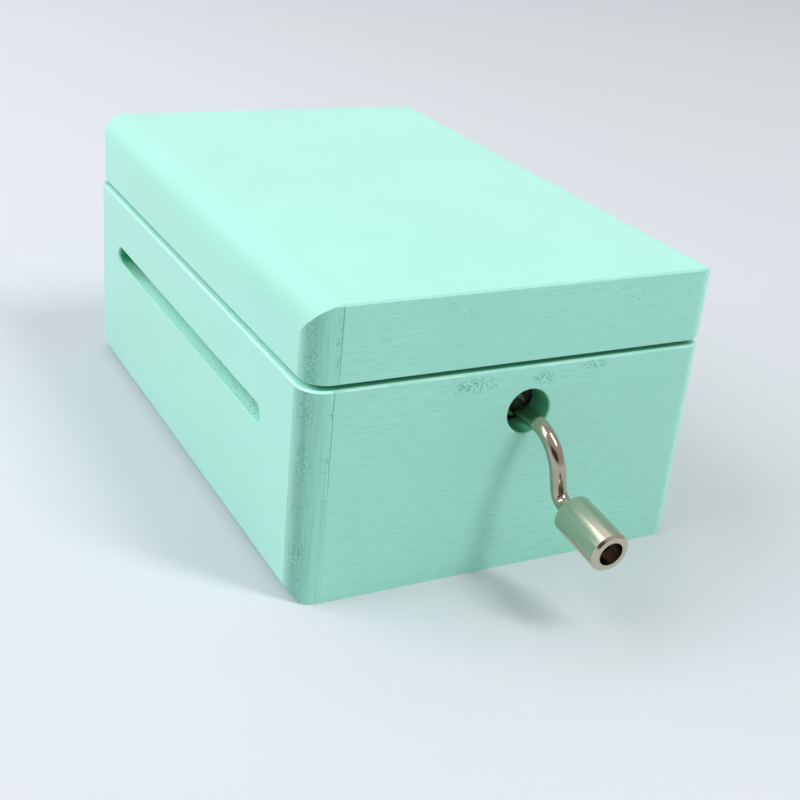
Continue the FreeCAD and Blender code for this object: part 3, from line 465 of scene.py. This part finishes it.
def front_and_back_paint():
    board = PaintedBoard("satin acrylic paint on birch, grain from side to side", "X", 0.02)
    board.scratches()
    board.pits()
    board.painted_light_right_edge()
    board.rubbed_spots_with_shade()
    board.lapped_end()
    board.corner_joint()
    board.paint_ridge_highlight()
    board.hole_wall()
    board.inside_the_seam()
    board.inside_the_case()
    return board.done()


def left_side_paint():
    board = PaintedBoard("satin acrylic paint on birch with its end showing", "Y", 0.008)
    board.board_end()
    board.corner_joint()
    board.painted_light_ledge()
    board.paint_ridge_highlight()
    board.slot_walls()
    board.inside_the_seam()
    board.inside_the_case()
    return board.done()


def plain_side_paint():
    board = PaintedBoard("satin acrylic paint on birch, grain from front to back", "Y", 0.008)
    board.slot_walls()
    board.paint_ridge_highlight()
    board.inside_the_seam()
    board.inside_the_case()
    return board.done()


def worked_metal(name, colour, roughness, mark_axis, mark_mm, relief=0.1):
    """Bare or plated metal whose polish differs along fine marks from its making.

    The marks are drawn 0.15 to 0.5 mm wide, coarser than the real ones, so that they show.
    """
    finish, tree, shader = new_finish(name, {"Metallic": 1.0, "Base Color": linear(colour)})
    here = add(tree, "ShaderNodeTexCoord").outputs["Object"]
    marks = streaks(tree, here, mark_axis, mark_mm, 0.05)
    polish = swing(tree, marks, roughness * 0.8, roughness * 1.25)
    tree.links.new(polish, shader.inputs["Roughness"])
    roughen(tree, shader, marks, relief, 0.01)
    return finish


def nickel_wire_finish():
    """Nickel plated steel wire, cold bent: bright, with a slightly uneven skin."""
    surface = {"Metallic": 1.0, "Base Color": linear("#B9AC9A")}
    finish, tree, shader = new_finish("nickel plated steel wire", surface)
    here = add(tree, "ShaderNodeTexCoord").outputs["Object"]
    skin = add(tree, "ShaderNodeTexNoise", {"Vector": here, "Scale": across(0.9),
                                            "Detail": 3.0}).outputs[0]
    tree.links.new(rise(tree, skin, 0.35, 0.65, 0.11, 0.2), shader.inputs["Roughness"])
    roughen(tree, shader, skin, 0.3, 0.02)
    return finish


def nickel_knob_finish():
    """Nickel plated turned sleeve: satin, with faint rings from the lathe and painted shade in its
    bore.

    The rings are drawn 0.25 mm apart, coarser than the real ones, so that they show.
    """
    finish, tree, shader = new_finish("nickel plated turned sleeve", {"Metallic": 1.0})
    here = add(tree, "ShaderNodeTexCoord").outputs["Object"]
    along = add(tree, "ShaderNodeVectorMath", {0: here, 1: KNOB_AXIS}, operation="DOT_PRODUCT")
    from_back = add(tree, "ShaderNodeVectorMath", {0: here, 1: [v * MM for v in KNOB_BACK]},
                    operation="SUBTRACT")
    off_axis = add(tree, "ShaderNodeVectorMath", {0: from_back.outputs[0], 1: KNOB_AXIS},
                   operation="CROSS_PRODUCT")
    radius = add(tree, "ShaderNodeVectorMath", {0: off_axis.outputs[0]}, operation="LENGTH")
    shaded_bore = rise_mm(tree, radius.outputs["Value"], KNOB_OPENING + 0.1, KNOB_OPENING - 0.05)
    # Painted shade: dark brown inside the opening at the knob's front
    nickel = coat(tree, linear("#C6C0AC"), linear("#6B5E50"), shaded_bore)
    rings = add(tree, "ShaderNodeTexNoise", {"W": along.outputs["Value"], "Scale": across(0.25),
                                             "Detail": 2.0}, noise_dimensions="1D").outputs[0]
    smudges = add(tree, "ShaderNodeTexNoise", {"Vector": here, "Scale": across(2.5),
                                               "Detail": 2.0}).outputs[0]
    polish = add(tree, "ShaderNodeMath", {0: swing(tree, rings, 0.13, 0.19),
                                          1: swing(tree, smudges, 0.0, 0.05)}, operation="ADD")
    tree.links.new(nickel, shader.inputs["Base Color"])
    tree.links.new(polish.outputs[0], shader.inputs["Roughness"])
    roughen(tree, shader, rings, 0.02, 0.01)
    return finish


def matt_solid(name, colour, roughness, grit_mm):
    """Soft dull solid with a faint uneven surface."""
    finish, tree, shader = new_finish(name, {"Roughness": roughness})
    here = add(tree, "ShaderNodeTexCoord").outputs["Object"]
    grit = add(tree, "ShaderNodeTexNoise", {"Vector": here, "Scale": across(grit_mm),
                                            "Detail": 3.0}).outputs[0]
    uneven = shaded(tree, linear(colour)[:3], swing(tree, grit, 0.85, 1.1))
    tree.links.new(uneven, shader.inputs["Base Color"])
    roughen(tree, shader, grit, 0.3, 0.02)
    return finish


def dress_the_nodes():
    front_paint = front_and_back_paint()
    left_paint = left_side_paint()
    side_paint = plain_side_paint()
    # Cut on a lathe or cutter and left bare: warm yellow with soft highlights
    brass = worked_metal("turned brass", "#D8B36A", 0.28, "Y", 0.2)
    # Pressed from powder and soaked in oil: brown and nearly without highlights
    bronze = worked_metal("sintered bronze", "#8A6440", 0.5, "Y", 0.3)
    # Barrel plated: grey, a little blurred, with a slight warm cast
    steel = worked_metal("zinc plated steel screws", "#B9B9B4", 0.3, "Z", 0.3)
    # Ground between centres: the clearest reflections inside the case, in long lines
    ground = worked_metal("ground steel shafts", "#A9A8A4", 0.24, "Y", 0.3)
    # Die cast and tumbled: even dull grey with a faint coarse skin
    casting = worked_metal("tumbled zinc casting", "#A6A8A9", 0.42, "X", 0.5, relief=0.3)
    # Rolled and plated: pale and fairly bright, drawn out along the strip's way
    sheet = worked_metal("nickel plated steel sheet", "#B7B6B2", 0.25, "X", 0.3)
    # Hardened and ground to tune it: cool grey with the finest lines, along the tines
    comb_steel = worked_metal("ground hardened steel", "#A9AAAB", 0.3, "X", 0.15)
    # Stamped and deburred: grey, duller than the shafts
    star_steel = worked_metal("stamped steel stars", "#B2B2AE", 0.32, "Z", 0.2)
    # Cut from tube: nearly black and dull, so that the rings stand out on the shaft
    rubber = matt_solid("black nitrile rubber", "#262624", 0.6, 0.3)
    # Cast and darkened by air: soft dull grey
    lead = matt_solid("dull lead", "#5F6266", 0.55, 0.4)
    finish_of = {
        "front_board": front_paint, "back_board": front_paint,
        "lid_front_rail": front_paint, "lid_back_rail": front_paint,
        "left_board": left_paint, "lid_left_rail": left_paint,
        "right_board": side_paint, "floor_panel": side_paint,
        "lid_top_panel": side_paint, "lid_right_rail": side_paint,
        "crank_wire": nickel_wire_finish(), "crank_knob": nickel_knob_finish(),
        "body_hinge_leaves": brass, "lid_hinge_leaves": brass, "hinge_pins": steel,
        "body_hinge_screws": brass, "lid_hinge_screws": brass,
        "body_magnets": sheet, "lid_magnets": sheet,
        "movement_base": casting, "crank_bracket": casting,
        "front_frame": casting, "back_frame": casting,
        "mounting_screws": steel, "frame_screws": steel, "comb_screws": steel,
        "shaft_bushes": bronze, "roller_gear": brass, "crank_pinion_shaft": ground,
        "drive_roller": ground, "pressure_roller": ground, "star_axle": ground,
        "rubber_rings": rubber, "comb_weights": lead,
        "lower_strip_guide": sheet, "upper_strip_guide": sheet,
        "comb": comb_steel, "comb_bridge": casting, "star_spacer_bar": casting,
    }
    for name, node in nodes.items():
        finish = star_steel if name.startswith("star_wheel") else finish_of[name]
        for place in node.material_slots:
            place.material = finish


def new_sheet(name, corners):
    """Flat sheet with four corners that stands in the scene but isn't part of the object."""
    mesh = bpy.data.meshes.new(name)
    mesh.from_pydata(corners, [], [(0, 1, 2, 3)])
    sheet = bpy.data.objects.new(name, mesh)
    bpy.context.scene.collection.objects.link(sheet)
    return sheet


def make_floor():
    """Pale matt card, with painted shade that darkens it a little towards the right, where its
    light falls off.
    """
    reach = FLOOR_REACH
    floor = new_sheet("floor", [(-reach, -reach, 0), (reach, -reach, 0), (reach, reach, 0),
                                (-reach, reach, 0)])
    finish, tree, shader = new_finish("graduated pale card", {"Roughness": 0.9})
    here = add(tree, "ShaderNodeTexCoord").outputs["Object"]
    right = add(tree, "ShaderNodeSeparateXYZ", {0: here}).outputs["X"]
    # Painted shade: the card darkens towards the right
    card = shaded(tree, linear("#CCD2D5")[:3], rise_mm(tree, right, 0, 200, 1.02, 0.95))
    tree.links.new(card, shader.inputs["Base Color"])
    floor.data.materials.append(finish)


def make_flag():
    """Dark card behind the camera, seen only in reflections."""
    flag = new_sheet("dark_flag", FLAG_CORNERS)
    surface = {"Base Color": linear("#4A3628"), "Roughness": 1.0}
    flag.data.materials.append(new_finish("dark brown felt", surface)[0])
    for use in ("camera", "diffuse", "shadow", "transmission"):
        setattr(flag, "visible_" + use, False)


def make_lamp(name, direction, distance, width, height, level, colour):
    """Soft box; level is the share of a white card's full brightness that it gives at the case."""
    lamp = bpy.data.lights.new(name, "AREA")
    lamp.shape = "RECTANGLE"
    lamp.size = width
    lamp.size_y = height
    lamp.energy = level * math.pi ** 2 * distance ** 2
    lamp.color = linear(colour)[:3]
    box = bpy.data.objects.new(name, lamp)
    bpy.context.scene.collection.objects.link(box)
    away = Vector(direction).normalized()
    box.location = Vector(LIT_POINT) + away * distance
    box.rotation_euler = away.to_track_quat("Z", "Y").to_euler()


def make_light():
    world = bpy.data.worlds.new("pale room")
    world.use_nodes = True
    tree = world.node_tree
    tree.nodes.clear()
    sky = add(tree, "ShaderNodeBackground", {"Color": linear("#F6F6F8"), "Strength": 0.53})
    add(tree, "ShaderNodeOutputWorld", {"Surface": sky.outputs[0]})
    bpy.context.scene.world = world
    # Tall and narrow, so that the crank's shadow is crisp by its hole and widens away from it
    make_lamp("key", direction=(0.83, -1.0, 1.85), distance=1.6, width=0.25, height=0.8,
              level=0.43, colour="#FFFFFF")
    make_lamp("side light", direction=(-1.0, 0.4, 1.0), distance=1.3, width=1.2, height=1.2,
              level=0.72, colour="#FDFBFF")
    make_lamp("back light", direction=(0.05, 0.6, 0.9), distance=1.6, width=1.3, height=1.3,
              level=0.13, colour="#FFFAFC")


def make_camera():
    camera = bpy.data.cameras.new("camera")
    camera.sensor_width = SENSOR_WIDTH
    camera.lens = FOCAL_PX / PICTURE_PX * SENSOR_WIDTH
    camera.shift_x = (PICTURE_PX / 2 - CENTRE_PX[0]) / PICTURE_PX
    camera.shift_y = (CENTRE_PX[1] - PICTURE_PX / 2) / PICTURE_PX
    camera.clip_start = 0.005
    holder = bpy.data.objects.new("camera", camera)
    bpy.context.scene.collection.objects.link(holder)
    right = Vector(CAMERA_RIGHT).normalized()
    ahead = Vector(CAMERA_AHEAD).normalized()
    up = right.cross(ahead).normalized()
    turn = Matrix((right, up, -ahead)).transposed().to_4x4()
    holder.matrix_world = Matrix.Translation(Vector(CAMERA_AT) * MM) @ turn
    bpy.context.scene.camera = holder


dress_the_nodes()
make_floor()
make_flag()
make_light()
make_camera()
bpy.context.scene.view_settings.view_transform = "Standard"
